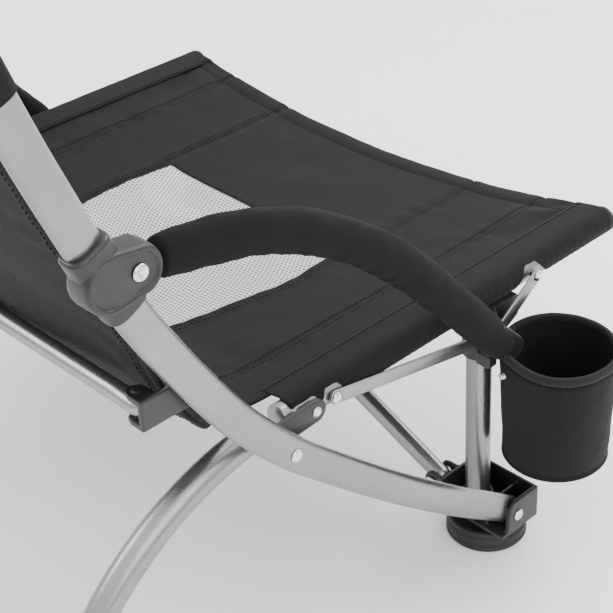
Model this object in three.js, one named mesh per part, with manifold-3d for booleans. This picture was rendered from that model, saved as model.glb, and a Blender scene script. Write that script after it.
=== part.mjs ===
// Camp rocking chair: two tubular side frames under a fabric sling, sprung rear legs, swivelling front
// pads.
// Millimetres, +Z up, the sitter faces -Y and the sitter's right hand is at -X.

import * as THREE from 'three';
import { mergeVertices } from 'three/addons/utils/BufferGeometryUtils.js';
import Module from 'manifold-3d';

const wasm = await Module();
wasm.setup();

// Driving dimensions. A side frame is drawn in its own terms: "in" runs from the front post towards
// the middle of the chair, "fwd" runs forward from the post and "z" is height above the ground.
const HALF_WIDTH = 280;
const CENTRE_X = 29.25;
const CENTRE_Y = -175.36;
const GAP = 0.3;

const SEAT_HEIGHT = 254;
const SEAT_FRONT = 172;
const SEAT_TUBE_END = -232;
const SEAT_TUBE_RADIUS = 11.25;

const BACK_TUBE_IN = -34;
const BACK_TUBE_HALF_THICK = 7.5;
const BACK_TUBE_HALF_WIDE = 13.5;
const FOOT_PIN = { fwd: 2, z: 40 };
const BACK_TUBE_ROUTE = [
  [2, 40], [-63, 88], [-137, 148], [-212, 215], [-251, 252], [-294, 302],
  [-325, 348], [-360, 407], [-387, 461], [-413, 524], [-434, 580], [-508, 796],
];

const SCISSOR = { fwd: -251, z: 252 };
const LEG_RADIUS = 12;
const LEG_BEND_RADIUS = 235;
const LEG_START_ANGLE = 3;
const LEG_END_ANGLE = 66;
const LEG_FOOT_TOP = 16;

const POST_RADIUS = 11.25;
const POST_TOP = 228;
const POST_BASE = 28;
const KNUCKLE = { fwd: 0, z: 218 };
const BAR_REAR_RIVET = { fwd: -183, z: SEAT_HEIGHT };
const BAR_FRONT_RIVET = { fwd: 55, z: SEAT_HEIGHT };
const BAR_HEIGHT = 12;
const BAR_THICK = 2.7;

const PAD_RADIUS = 37;
const PAD_HEIGHT = 20;
const PAD_CENTRE = { in: -6, fwd: 6 };
const SWIVEL_RADIUS = 6;
const BRACKET_FLOOR = 22.6;

const BRACE_RADIUS = 8.5;
const BRACE_PIVOT = { in: 34, z: 50 };
const BRACE_RISE = 110;
const BRACE_OFFSET = 11;

const SPREADER_RADIUS = 7.5;
const SPREADER_PIVOT = { in: -12, fwd: -361 };
const SPREADER_HEIGHT = 334;
const SPREADER_OFFSET = 9;

const ARM_IN = -34;
const ARM_TUBE_RADIUS = 8;
const ARM_SLEEVE_RADIUS = 14.5;
const ARM_ROUTE = [[-350, 460], [-313, 454], [-271, 444], [-228, 426], [-181, 398], [-131, 357], [-87,
    310], [-42, 259]];
const ARM_PIVOT = { fwd: -369, z: 463 };
const ARM_JOINT_TUBE_LOBE = { fwd: -388, z: 463 };

const CUP = { in: -57, fwd: 36, rim: 208, base: 97, rimRadius: 51, baseRadius: 46, wall: 2.4 };

const SLING_EDGE = 16;
const BACK_SLING_EDGE = -19;
const SEAT_SLING = [[168, 262.5], [-190, 262.5], [-225, 262.5], [-262, 268]];
const SEAT_SAG = 28;
const SAG_STEPS = 12;
const SAG_REAR_SHARE = 0.25;
const SAG_FADE = { from: -262, to: -190 };
const BACK_SLING = [
  [-264, 269], [-292, 282], [-322, 312], [-341, 345], [-362, 400], [-389, 456],
  [-415, 518], [-437, 580], [-504, 778],
];
const SLING_THICK = 5;

const RIVET_RADIUS = 3.2;
const RIVET_HEAD_RADIUS = 5;
const RIVET_HEAD_HEIGHT = 2.2;
const ROUND_SIDES = 10;

// Materials.
const silver = () => new THREE.MeshStandardMaterial({ color: 0xb4b5b7, roughness: 0.38,
    metalness: 0.75 });
const chrome = () => new THREE.MeshStandardMaterial({ color: 0xdedede, roughness: 0.12, metalness: 1 });
const plastic = () => new THREE.MeshStandardMaterial({ color: 0x303133, roughness: 0.5, metalness: 0 });
const rubber = () => new THREE.MeshStandardMaterial({ color: 0x29292a, roughness: 0.75, metalness: 0 });
const fabric = () => new THREE.MeshStandardMaterial({ color: 0x2b2b2c, roughness: 0.9, metalness: 0 });
const foam = () => new THREE.MeshStandardMaterial({ color: 0x202021, roughness: 0.95, metalness: 0 });

const chair = new THREE.Group();
chair.position.set(CENTRE_X, CENTRE_Y, 0);

function add(name, geometry, material) {
  const mesh = new THREE.Mesh(geometry, material());
  mesh.name = name;
  chair.add(mesh);
}

// Geometry helpers.
function place(side, inward, fwd, z) {
  return new THREE.Vector3(side * (HALF_WIDTH - inward), -fwd, z);
}

function signedVolume(geometry) {
  const p = geometry.attributes.position;
  const index = geometry.index;
  const [a, b, c] = [new THREE.Vector3(), new THREE.Vector3(), new THREE.Vector3()];
  let sum = 0;
  for (let i = 0; i < index.count; i += 3) {
    a.fromBufferAttribute(p, index.getX(i));
    b.fromBufferAttribute(p, index.getX(i + 1));
    c.fromBufferAttribute(p, index.getX(i + 2));
    sum += a.dot(b.cross(c));
  }
  return sum / 6;
}

// Merges the shared vertices and turns the faces outward.
function closed(geometry) {
  const source = geometry.clone();
  source.deleteAttribute('normal');
  source.deleteAttribute('uv');
  const merged = mergeVertices(source, 1e-4);
  if (signedVolume(merged) < 0) {
    const index = merged.index;
    for (let i = 0; i < index.count; i += 3) {
      const first = index.getX(i);
      index.setX(i, index.getX(i + 1));
      index.setX(i + 1, first);
    }
  }
  return merged;
}

function toManifold(geometry) {
  const ready = closed(geometry);
  return new wasm.Manifold(new wasm.Mesh({
    numProp: 3,
    vertProperties: new Float32Array(ready.attributes.position.array),
    triVerts: new Uint32Array(ready.index.array),
  }));
}

function fromManifold(solid) {
  const mesh = solid.getMesh();
  const geometry = new THREE.BufferGeometry();
  geometry.setAttribute('position', new THREE.BufferAttribute(new Float32Array(mesh.vertProperties), 3));
  geometry.setIndex(new THREE.BufferAttribute(new Uint32Array(mesh.triVerts), 1));
  geometry.computeVertexNormals();
  return geometry;
}

function join(first, ...rest) {
  return fromManifold(rest.reduce((solid, next) => solid.add(toManifold(next)), toManifold(first)));
}

function cut(first, ...rest) {
  return fromManifold(rest.reduce((solid, next) => solid.subtract(toManifold(next)), toManifold(first)));
}

// A box given by its extents in side-frame terms.
function block(side, inRange, fwdRange, zRange) {
  const size = [inRange, fwdRange, zRange].map(([low, high]) => high - low);
  const middle = [inRange, fwdRange, zRange].map(([low, high]) => (high + low) / 2);
  const geometry = new THREE.BoxGeometry(...size);
  const centre = place(side, ...middle);
  return geometry.translate(centre.x, centre.y, centre.z);
}

// A round bar between two points.
function rod(from, to, radius, sides = ROUND_SIDES) {
  const along = to.clone().sub(from);
  const geometry = new THREE.CylinderGeometry(radius, radius, along.length(), sides);
  const turn = new THREE.Quaternion().setFromUnitVectors(new THREE.Vector3(0, 1, 0),
      along.clone().normalize());
  const middle = from.clone().add(to).multiplyScalar(0.5);
  return geometry.applyQuaternion(turn).translate(middle.x, middle.y, middle.z);
}

function ellipse(halfX, halfY, sides) {
  const points = [];
  for (let i = 0; i < sides; i += 1) {
    const angle = (2 * Math.PI * i) / sides;
    points.push(new THREE.Vector2(halfX * Math.cos(angle), halfY * Math.sin(angle)));
  }
  return new THREE.Shape(points);
}

function sweep(shape, curve, steps) {
  return new THREE.ExtrudeGeometry(shape, { steps, bevelEnabled: false, extrudePath: curve,
      curveSegments: 12 });
}

function routeCurve(side, inward, route) {
  const points = route.map(([fwd, z]) => place(side, inward, fwd, z));
  return new THREE.CatmullRomCurve3(points, false, 'centripetal');
}

// A plate cut from an outline in the side plane, between two "in" positions.
function plate(side, outline, inFrom, inTo) {
  const shape = new THREE.Shape(outline.map(([fwd, z]) => new THREE.Vector2(-fwd, z)));
  const geometry = new THREE.ExtrudeGeometry(shape, { depth: inTo - inFrom, bevelEnabled: false });
  const toSide = new THREE.Matrix4().makeBasis(
    new THREE.Vector3(0, 1, 0), new THREE.Vector3(0, 0, 1), new THREE.Vector3(1, 0, 0));
  geometry.applyMatrix4(toSide);
  const start = Math.min(side * (HALF_WIDTH - inFrom), side * (HALF_WIDTH - inTo));
  return geometry.translate(start, 0, 0);
}

// Outline of a bar with round ends between two points in the side plane.
function capsule(from, to, radius, endSides = 5) {
  const heading = Math.atan2(to.z - from.z, to.fwd - from.fwd);
  const outline = [];
  for (const [end, start] of [[to, heading - Math.PI / 2], [from, heading + Math.PI / 2]]) {
    for (let i = 0; i <= endSides; i += 1) {
      const angle = start + (Math.PI * i) / endSides;
      outline.push([end.fwd + radius * Math.cos(angle), end.z + radius * Math.sin(angle)]);
    }
  }
  return outline;
}

// A rivet with a domed head at "from" and a shank that ends at "to".
function rivet(from, to, headRadius = RIVET_HEAD_RADIUS) {
  const length = from.distanceTo(to);
  const profile = [new THREE.Vector2(0, 0), new THREE.Vector2(RIVET_RADIUS, 0),
      new THREE.Vector2(RIVET_RADIUS, length)];
  const domeSteps = 2;
  for (let i = 0; i <= domeSteps; i += 1) {
    const angle = (Math.PI / 2) * (i / domeSteps);
    profile.push(new THREE.Vector2(headRadius * Math.cos(angle),
        length + RIVET_HEAD_HEIGHT * Math.sin(angle)));
  }
  profile[profile.length - 1].x = 0;
  const geometry = new THREE.LatheGeometry(profile, 8);
  const out = from.clone().sub(to).normalize();
  const turn = new THREE.Quaternion().setFromUnitVectors(new THREE.Vector3(0, 1, 0), out);
  return geometry.applyQuaternion(turn).translate(to.x, to.y, to.z);
}

// A hole across the side frame at one point of the side plane.
function crossHole(side, at, inFrom, inTo, radius = RIVET_RADIUS + GAP) {
  return rod(place(side, inFrom, at.fwd, at.z), place(side, inTo, at.fwd, at.z), radius);
}

function legRoute() {
  const points = [];
  const bendSteps = 6;
  const toRad = Math.PI / 180;
  const start = LEG_START_ANGLE * toRad;
  const end = LEG_END_ANGLE * toRad;
  for (let i = 0; i <= bendSteps; i += 1) {
    const angle = start + ((end - start) * i) / bendSteps;
    points.push([
      SCISSOR.fwd - LEG_BEND_RADIUS * (Math.sin(angle) - Math.sin(start)),
      SCISSOR.z - LEG_BEND_RADIUS * (Math.cos(start) - Math.cos(angle)),
    ]);
  }
  const [fwd, z] = points[points.length - 1];
  const drop = z - LEG_FOOT_TOP - GAP;
  points.push([fwd - drop / Math.tan(end), LEG_FOOT_TOP + GAP]);
  return points;
}

// One side of the frame. side is -1 for the sitter's right and +1 for the left.
function buildSide(side, label) {
  const name = (piece) => `${label}_${piece}`;

  // Foot pad with the groove that the bracket's swivel rib turns in.
  const pad = new THREE.LatheGeometry([
    new THREE.Vector2(0, 0), new THREE.Vector2(PAD_RADIUS - 2, 0), new THREE.Vector2(PAD_RADIUS, 3),
    new THREE.Vector2(PAD_RADIUS - 2, PAD_HEIGHT - 2), new THREE.Vector2(PAD_RADIUS - 4, PAD_HEIGHT),
    new THREE.Vector2(0, PAD_HEIGHT),
  ], 20).rotateX(Math.PI / 2);
  const padCentre = place(side, PAD_CENTRE.in, PAD_CENTRE.fwd, 0);
  pad.translate(padCentre.x, padCentre.y, 0);
  const swivelFrom = place(side, PAD_CENTRE.in - 16, PAD_CENTRE.fwd, PAD_HEIGHT);
  const swivelTo = place(side, PAD_CENTRE.in + 16, PAD_CENTRE.fwd, PAD_HEIGHT);
  const groove = rod(
    place(side, PAD_CENTRE.in - 17, PAD_CENTRE.fwd, PAD_HEIGHT),
    place(side, PAD_CENTRE.in + 17, PAD_CENTRE.fwd, PAD_HEIGHT), SWIVEL_RADIUS + 0.5);
  add(name('foot_pad'), cut(pad, groove), rubber);

  // Moulded foot bracket: an open box with an outer ear, a post socket and the brace clevis.
  const braceFwd = side < 0 ? -BRACE_OFFSET : BRACE_OFFSET;
  const floor = block(side, [-46, 24], [-20, 30], [BRACKET_FLOOR, BRACKET_FLOOR + 4]);
  const bracketParts = [
    block(side, [-46, 24], [27, 30], [BRACKET_FLOOR, 56]),
    block(side, [21, 24], [-24.2, 30], [BRACKET_FLOOR, 59]),
    block(side, [-24.5, -21.5], [-14, 29], [BRACKET_FLOOR, 50]),
    plate(side, [[-12, 24], [29, 24], [29, 56], [-3, 56], [-9, 50]], -46, -42),
    rod(place(side, 0, 0, BRACKET_FLOOR), place(side, 0, 0, 44), 15, 14),
    rod(swivelFrom, swivelTo, SWIVEL_RADIUS),
  ];
  const earHalf = BRACE_RADIUS + 0.8;
  for (const direction of [-1, 1]) {
    const near = braceFwd + direction * earHalf;
    const far = near + direction * 3.5;
    const fwdRange = [Math.min(near, far), Math.max(near, far)];
    bracketParts.push(block(side, [22, BRACE_PIVOT.in], fwdRange, [BRACE_PIVOT.z - 9,
        BRACE_PIVOT.z + 9]));
    bracketParts.push(rod(
      place(side, BRACE_PIVOT.in, fwdRange[0], BRACE_PIVOT.z), place(side, BRACE_PIVOT.in, fwdRange[1],
          BRACE_PIVOT.z), 9));
  }
  const bracePinFrom = place(side, BRACE_PIVOT.in, braceFwd - earHalf - 4.5, BRACE_PIVOT.z);
  const bracePinTo = place(side, BRACE_PIVOT.in, braceFwd + earHalf + 4.5, BRACE_PIVOT.z);
  add(name('foot_bracket'), cut(
    join(floor, ...bracketParts),
    rod(place(side, 0, 0, POST_BASE), place(side, 0, 0, 80), POST_RADIUS + GAP, 14),
    crossHole(side, FOOT_PIN, -60, -12),
    rod(bracePinFrom, bracePinTo, RIVET_RADIUS + GAP)), plastic);
  add(name('foot_pin'), rivet(
    place(side, -46 - GAP, FOOT_PIN.fwd, FOOT_PIN.z), place(side, -20, FOOT_PIN.fwd, FOOT_PIN.z), 5.6),
        chrome);

  // Front post in its socket, and the knuckle on top of it.
  add(name('front_post'), rod(
    place(side, 0, 0, POST_BASE + GAP), place(side, 0, 0, POST_TOP - GAP), POST_RADIUS, 14), silver);
  const knuckle = join(
    rod(place(side, 0, 0, 196), place(side, 0, 0, 236), 14.8, 14),
    plate(side, [[6, 200], [30, 206], [46, 214], [51, 226], [44, 236], [8, 236]], -4.5, 4.5),
    plate(side, capsule({ fwd: -4, z: KNUCKLE.z }, { fwd: 4, z: KNUCKLE.z }, 8.5), 8, 19));
  add(name('post_knuckle'), cut(knuckle,
    rod(place(side, 0, 0, 190), place(side, 0, 0, POST_TOP), POST_RADIUS + GAP, 14),
    crossHole(side, KNUCKLE, -40, 0),
    block(side, [-40, -11.8], [-30, 30], [190, 240])), plastic);

  // Flat bars from the knuckle to the seat tube, one outside the other at the knuckle.
  const barFace = -12.1;
  const rearBar = plate(side, capsule(BAR_REAR_RIVET, KNUCKLE, BAR_HEIGHT / 2), barFace - BAR_THICK,
      barFace);
  const frontFace = barFace - BAR_THICK - GAP;
  const frontBar = plate(side, capsule(KNUCKLE, BAR_FRONT_RIVET, BAR_HEIGHT / 2),
      frontFace - BAR_THICK, frontFace);
  add(name('rear_bar'), cut(rearBar, crossHole(side, KNUCKLE, -40, 0), crossHole(side, BAR_REAR_RIVET,
      -40, 0)), silver);
  add(name('front_bar'), cut(frontBar, crossHole(side, KNUCKLE, -40, 0), crossHole(side,
      BAR_FRONT_RIVET, -40, 0)), silver);

  // Seat tube with its front cap, and the hinge plate that carries the scissor rivet.
  const seatTube = rod(
    place(side, 0, SEAT_FRONT - 4, SEAT_HEIGHT), place(side, 0, SEAT_TUBE_END, SEAT_HEIGHT),
        SEAT_TUBE_RADIUS, 14);
  const hingePlateStart = { fwd: -206, z: SEAT_HEIGHT };
  add(name('seat_tube'), cut(seatTube,
    crossHole(side, BAR_REAR_RIVET, -30, 4), crossHole(side, BAR_FRONT_RIVET, -30, 4),
    crossHole(side, hingePlateStart, -30, 4)), silver);
  add(name('front_cap'), rod(
    place(side, 0, SEAT_FRONT, SEAT_HEIGHT), place(side, 0, SEAT_FRONT - 4 + GAP, SEAT_HEIGHT), 12,
        14), plastic);
  const hingePlate = plate(side, capsule(hingePlateStart, SCISSOR, 10), -16.5, -12.4);
  const plateRivet = rivet(
    place(side, -16.5, hingePlateStart.fwd, hingePlateStart.z),
    place(side, 3, hingePlateStart.fwd, hingePlateStart.z), 4.6);
  const scissorSpacer = crossHole(side, SCISSOR, -26.2, -16, 8);
  add(name('hinge_plate'), cut(
    join(hingePlate, plateRivet, scissorSpacer), crossHole(side, SCISSOR, -40, -10)), silver);
  add(name('rear_bar_rivet'), rivet(
    place(side, barFace - BAR_THICK - GAP, BAR_REAR_RIVET.fwd, BAR_REAR_RIVET.z),
    place(side, 3, BAR_REAR_RIVET.fwd, BAR_REAR_RIVET.z)), chrome);
  add(name('front_bar_rivet'), rivet(
    place(side, frontFace - BAR_THICK - GAP, BAR_FRONT_RIVET.fwd, BAR_FRONT_RIVET.z),
    place(side, 3, BAR_FRONT_RIVET.fwd, BAR_FRONT_RIVET.z)), chrome);
  add(name('knuckle_rivet'), rivet(
    place(side, frontFace - BAR_THICK - GAP, KNUCKLE.fwd, KNUCKLE.z), place(side, -11.7, KNUCKLE.fwd,
        KNUCKLE.z)), chrome);

  // Back tube: a flattened oval tube from the foot pin to the top of the back.
  const backCurve = routeCurve(side, BACK_TUBE_IN, BACK_TUBE_ROUTE);
  const backTube = sweep(ellipse(BACK_TUBE_HALF_THICK, BACK_TUBE_HALF_WIDE, 12), backCurve, 20);
  add(name('back_tube'), cut(join(backTube, crossHole(side, FOOT_PIN, -41.5, -26.5, 13)),
    crossHole(side, FOOT_PIN, -60, 0), crossHole(side, SCISSOR, -60, 0)), silver);
  const topEnd = backCurve.getPointAt(1);
  const topHeading = backCurve.getTangentAt(1);
  const capCurve = new THREE.LineCurve3(
    topEnd.clone().addScaledVector(topHeading, GAP), topEnd.clone().addScaledVector(topHeading, 6));
  add(name('top_cap'), sweep(ellipse(BACK_TUBE_HALF_THICK, BACK_TUBE_HALF_WIDE, 12), capCurve, 1),
      plastic);

  // Scissor rivet and sprung rear leg.
  add(name('scissor_rivet'), rivet(
    place(side, -41.8, SCISSOR.fwd, SCISSOR.z), place(side, 3, SCISSOR.fwd, SCISSOR.z), 5.4), chrome);
  const legPoints = legRoute();
  const legCurve = routeCurve(side, 0, legPoints);
  const leg = join(sweep(ellipse(LEG_RADIUS, LEG_RADIUS, 12), legCurve, 12), crossHole(side, SCISSOR,
      -11.8, 11.8, 11.9));
  const below = block(side, [-40, 40], [-600, -400], [-20, LEG_FOOT_TOP + GAP]);
  add(name('rear_leg'), cut(leg, crossHole(side, SCISSOR, -30, 5), below), silver);
  const [footFwd] = legPoints[legPoints.length - 1];
  const footCentre = place(side, 0, footFwd - 2, 0);
  const foot = new THREE.LatheGeometry([
    new THREE.Vector2(0, 0), new THREE.Vector2(17, 0), new THREE.Vector2(18, 3),
        new THREE.Vector2(16.5, LEG_FOOT_TOP),
    new THREE.Vector2(0, LEG_FOOT_TOP),
  ], 14).rotateX(Math.PI / 2).translate(footCentre.x, footCentre.y, 0);
  add(name('rear_foot'), closed(foot), rubber);

  // Arm joint around the back tube, arm tube, its sleeve and its rivet.
  const jointOutline = join(
    crossHole(side, ARM_JOINT_TUBE_LOBE, -47, -24, 21.5), crossHole(side, ARM_PIVOT, -47, -24, 18.5));
  const tubeWay = sweep(
    ellipse(BACK_TUBE_HALF_THICK + GAP, BACK_TUBE_HALF_WIDE + GAP, 12), backCurve, 20);
  const armStart = ARM_ROUTE[0];
  add(name('arm_joint'), cut(jointOutline, tubeWay, crossHole(side, ARM_PIVOT, -60, -30)), plastic);
  add(name('arm_rivet'), rivet(
    place(side, -47 - GAP, ARM_PIVOT.fwd, ARM_PIVOT.z), place(side, -31, ARM_PIVOT.fwd, ARM_PIVOT.z),
        5.6), chrome);
  const armCurve = routeCurve(side, ARM_IN, ARM_ROUTE);
  add(name('arm_tube'), cut(
    sweep(ellipse(ARM_TUBE_RADIUS, ARM_TUBE_RADIUS, 8), armCurve, 12),
    crossHole(side, ARM_PIVOT, -50, -20, 19)), silver);
  const sleeveShape = ellipse(ARM_SLEEVE_RADIUS, ARM_SLEEVE_RADIUS, 10);
  sleeveShape.holes.push(new THREE.Path(ellipse(ARM_TUBE_RADIUS + 1, ARM_TUBE_RADIUS + 1,
      8).getPoints().reverse()));
  add(name('arm_sleeve'), cut(
    sweep(sleeveShape, armCurve, 12), crossHole(side, ARM_PIVOT, -60, -10, 19), block(side, [-18.2, 0],
        [-60, 60], [190, 290])),
  foam);

  // Moulded socket that carries the arm's front end, outside the bars, clear of them.
  const [endFwd, endZ] = ARM_ROUTE[ARM_ROUTE.length - 1];
  add(name('arm_socket'), join(
    plate(side, capsule({ fwd: endFwd + 19, z: endZ - 19 }, { fwd: -4, z: 220.5 }, 11), -43, -25),
    block(side, [-27, -12.2], [-19, -8], [199, 211.4])), plastic);

  // Front brace and rear spreader half.
  const hubHeight = BRACE_PIVOT.z + BRACE_RISE;
  const braceStart = place(side, BRACE_PIVOT.in, braceFwd, BRACE_PIVOT.z);
  const braceEnd = place(side, HALF_WIDTH, braceFwd, hubHeight);
  const braceEye = (at, radius) => rod(
    new THREE.Vector3(at.x, at.y - BRACE_RADIUS, at.z), new THREE.Vector3(at.x, at.y + BRACE_RADIUS,
        at.z), radius);
  add(name('front_brace'), cut(
    join(rod(braceStart, braceEnd, BRACE_RADIUS), braceEye(braceStart, 8.4), braceEye(braceEnd, 8.4)),
    rod(bracePinFrom, bracePinTo, RIVET_RADIUS + GAP)), silver);
  add(name('brace_pin'), rivet(bracePinTo, bracePinFrom), chrome);

  const spreaderZ = SPREADER_HEIGHT - side * SPREADER_OFFSET;
  const spreaderStart = place(side, SPREADER_PIVOT.in, SPREADER_PIVOT.fwd, spreaderZ);
  const spreaderEnd = place(side, HALF_WIDTH, SPREADER_PIVOT.fwd, spreaderZ);
  const upright = (at, low, high, radius) => rod(
    new THREE.Vector3(at.x, at.y, at.z + low), new THREE.Vector3(at.x, at.y, at.z + high), radius);
  const clampPin = upright(spreaderStart, -14, 14, RIVET_RADIUS + GAP);
  add(name('spreader'), cut(
    join(rod(spreaderStart, spreaderEnd, SPREADER_RADIUS),
      upright(spreaderStart, -SPREADER_RADIUS, SPREADER_RADIUS, 8), upright(spreaderEnd,
          -SPREADER_RADIUS, SPREADER_RADIUS, 8)),
    clampPin), silver);
  const lugHigh = SPREADER_RADIUS + 0.6;
  const lugs = [[-lugHigh - 4, -lugHigh], [lugHigh, lugHigh + 4]].map(([low, high]) => join(
    upright(spreaderStart, low, high, 8),
    block(side, [-26, SPREADER_PIVOT.in], [SPREADER_PIVOT.fwd - 8, SPREADER_PIVOT.fwd + 8],
        [spreaderZ + low, spreaderZ + high])));
  const lugWeb = block(side, [-26, -22], [SPREADER_PIVOT.fwd - 8, SPREADER_PIVOT.fwd + 42],
      [spreaderZ - 12, spreaderZ + 12]);
  const spreaderPin = upright(spreaderStart, -lugHigh - 5, lugHigh + 5, RIVET_RADIUS);
  add(name('spreader_lug'), join(lugs[0], lugs[1], lugWeb, spreaderPin), plastic);

  // Side sleeve: the sewn channel that wraps the top and the inner side of the seat tube.
  const wrap = [];
  const wrapSteps = 8;
  const wrapInner = SEAT_TUBE_RADIUS + GAP;
  const wrapOuter = wrapInner + 1.4;
  for (const [radius, from, to] of [[wrapOuter, 95, -110], [wrapInner, -110, 95]]) {
    for (let i = 0; i <= wrapSteps; i += 1) {
      const angle = (Math.PI / 180) * (from + ((to - from) * i) / wrapSteps);
      wrap.push(new THREE.Vector2(radius * Math.cos(angle), radius * Math.sin(angle)));
    }
  }
  const wrapShape = new THREE.Shape(wrap.map((p) => new THREE.Vector2(-side * p.x, p.y)));
  const sleeve = new THREE.ExtrudeGeometry(wrapShape, { depth: SEAT_FRONT - 6 - SEAT_TUBE_END - 8,
      bevelEnabled: false });
  sleeve.rotateX(Math.PI / 2);
  const sleeveStart = place(side, 0, SEAT_TUBE_END + 8, SEAT_HEIGHT);
  sleeve.translate(sleeveStart.x, sleeveStart.y, sleeveStart.z);
  add(name('side_sleeve'), closed(sleeve), fabric);
}

// A sling panel: a sheet of constant thickness that follows a profile, across the chair, and sags
// between the side frames.
function sling(profile, edge, smooth, sag) {
  const curve = new THREE.CatmullRomCurve3(
    profile.map(([fwd, z]) => new THREE.Vector3(-fwd, z, 0)), false, 'centripetal');
  const count = smooth ? 20 : profile.length - 1;
  const upper = [];
  const lower = [];
  for (let i = 0; i <= count; i += 1) {
    const at = smooth ? curve.getPointAt(i / count) : new THREE.Vector3(-profile[i][0], profile[i][1], 0);
    const heading = smooth ? curve.getTangentAt(i / count) : new THREE.Vector3(1, 0, 0);
    const normal = new THREE.Vector2(-heading.y, heading.x).multiplyScalar(SLING_THICK / 2);
    upper.push([at.x + normal.x, at.y + normal.y]);
    lower.unshift([at.x - normal.x, at.y - normal.y]);
  }
  const shape = new THREE.Shape([...upper, ...lower].map(([y, z]) => new THREE.Vector2(y, z)));
  const width = 2 * (HALF_WIDTH - edge);
  const geometry = new THREE.ExtrudeGeometry(shape, { depth: width, bevelEnabled: false,
      steps: sag ? SAG_STEPS : 1 });
  geometry.applyMatrix4(new THREE.Matrix4().makeBasis(
    new THREE.Vector3(0, 1, 0), new THREE.Vector3(0, 0, 1), new THREE.Vector3(1, 0, 0)));
  const panel = closed(geometry.translate(-width / 2, 0, 0));
  const p = panel.attributes.position;
  for (let i = 0; i < p.count; i += 1) {
    const across = 1 - ((2 * p.getX(i)) / width) ** 2;
    const along = THREE.MathUtils.smoothstep(-p.getY(i), SAG_FADE.from, SAG_FADE.to);
    p.setZ(i, p.getZ(i) - sag * across * (SAG_REAR_SHARE + (1 - SAG_REAR_SHARE) * along));
  }
  return panel;
}

// Cup holder: an open fabric bucket outside the right arm's front end.
function cupHolder() {
  const profile = [
    [0, CUP.base], [CUP.baseRadius - 6, CUP.base], [CUP.baseRadius, CUP.base + 6], [CUP.rimRadius,
        CUP.rim],
    [CUP.rimRadius - CUP.wall, CUP.rim], [CUP.baseRadius - CUP.wall, CUP.base + 7],
    [CUP.baseRadius - 8, CUP.base + CUP.wall], [0, CUP.base + CUP.wall],
  ].map(([radius, z]) => new THREE.Vector2(radius, z));
  const centre = place(-1, CUP.in, CUP.fwd, 0);
  return closed(new THREE.LatheGeometry(profile, 20).rotateX(Math.PI / 2).translate(centre.x, centre.y,
      0));
}

buildSide(-1, 'right');
buildSide(1, 'left');
add('seat_panel', sling(SEAT_SLING, SLING_EDGE, false, SEAT_SAG), fabric);
add('back_panel', sling(BACK_SLING, BACK_SLING_EDGE, true, 0), fabric);
add('cup_holder', cupHolder(), fabric);

export default chair;
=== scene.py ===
# Camp rocking chair: tubular frame, sewn sling with a mesh panel, padded arms and a cup holder.
import math

import bmesh
import bpy
from mathutils import Matrix, Vector, noise


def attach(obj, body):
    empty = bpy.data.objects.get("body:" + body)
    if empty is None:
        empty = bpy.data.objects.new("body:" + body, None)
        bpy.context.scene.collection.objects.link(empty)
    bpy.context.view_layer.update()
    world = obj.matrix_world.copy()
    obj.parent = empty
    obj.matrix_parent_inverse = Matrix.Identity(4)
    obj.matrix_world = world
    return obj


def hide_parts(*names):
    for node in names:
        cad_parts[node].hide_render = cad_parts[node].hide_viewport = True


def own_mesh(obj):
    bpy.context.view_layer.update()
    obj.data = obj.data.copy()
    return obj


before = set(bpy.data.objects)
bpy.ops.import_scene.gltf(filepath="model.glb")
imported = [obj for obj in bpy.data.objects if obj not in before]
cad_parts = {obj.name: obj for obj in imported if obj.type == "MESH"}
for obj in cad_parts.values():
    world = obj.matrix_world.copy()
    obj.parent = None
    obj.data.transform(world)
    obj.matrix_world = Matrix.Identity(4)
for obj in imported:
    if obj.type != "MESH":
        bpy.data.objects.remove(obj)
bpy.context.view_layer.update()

MM = 0.001

# Camera at the viewing angle: behind and above the sitter's right side.
VIEW_FROM = (-0.9374, 0.6391, 0.9241)
VIEW_RIGHT = Vector((-0.6905, -0.7213, -0.0546))
VIEW_UP = Vector((0.3564, -0.4049, 0.842))
VIEW_BACK = Vector((-0.6294, 0.562, 0.5366))
LENS = 87.95
SENSOR = 36.0
SHIFT_X = 0.0106

# The frame's dimensions, in millimetres: "in" runs from the post to the middle, "fwd" forward.
HALF_WIDTH = 280
CENTRE_X = 29.25
CENTRE_Y = -175.36
SEAT_HEIGHT = 254
SEAT_FRONT = 172
SEAT_TUBE_END = -232
TUBE_RADIUS = 11.25
BACK_TUBE_IN = -34
BACK_HALF_THICK = 7.5
BACK_HALF_WIDE = 13.5
BACK_ROUTE = [(2, 40), (-63, 88), (-137, 148), (-212, 215), (-251, 252), (-294, 302), (-325, 348),
              (-360, 407), (-387, 461), (-413, 524), (-434, 580), (-508, 796)]
FOOT_PIN = (2, 40)
SCISSOR = (-251, 252)
LEG_RADIUS = 12
LEG_BEND = 235
LEG_ANGLES = (3, 66)
LEG_FOOT_TOP = 16
POST_BASE = 28
POST_TOP = 228
KNUCKLE = (0, 218)
REAR_RIVET = (-183, 254)
FRONT_RIVET = (55, 254)
PLATE_RIVET = (-206, 254)
BAR_HALF = 6
REAR_BAR_IN = (-14.8, -12.1)
FRONT_BAR_IN = (-17.8, -15.1)
PLATE_IN = (-16.5, -12.4)
PLATE_HALF = 10
SHANK_END = 3
BAR_RIVET_RADIUS = 5
PIN_HEAD_RADIUS = 5.6
PAD_IN = -6
PAD_FWD = 6
BRACE_RADIUS = 8.5
BRACE_IN = 34
BRACE_Z = 50
BRACE_RISE = 110
BRACE_OFFSET = 11
SPREADER_RADIUS = 7.5
SPREADER_IN = -12
SPREADER_FWD = -361
SPREADER_Z = 334
SPREADER_OFFSET = 9
ARM_IN = -34
ARM_ROUTE = [(-350, 460), (-313, 454), (-271, 444), (-228, 426), (-181, 398), (-131, 357), (-87, 310),
             (-42, 259)]
ARM_PIVOT = (-369, 463)
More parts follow.
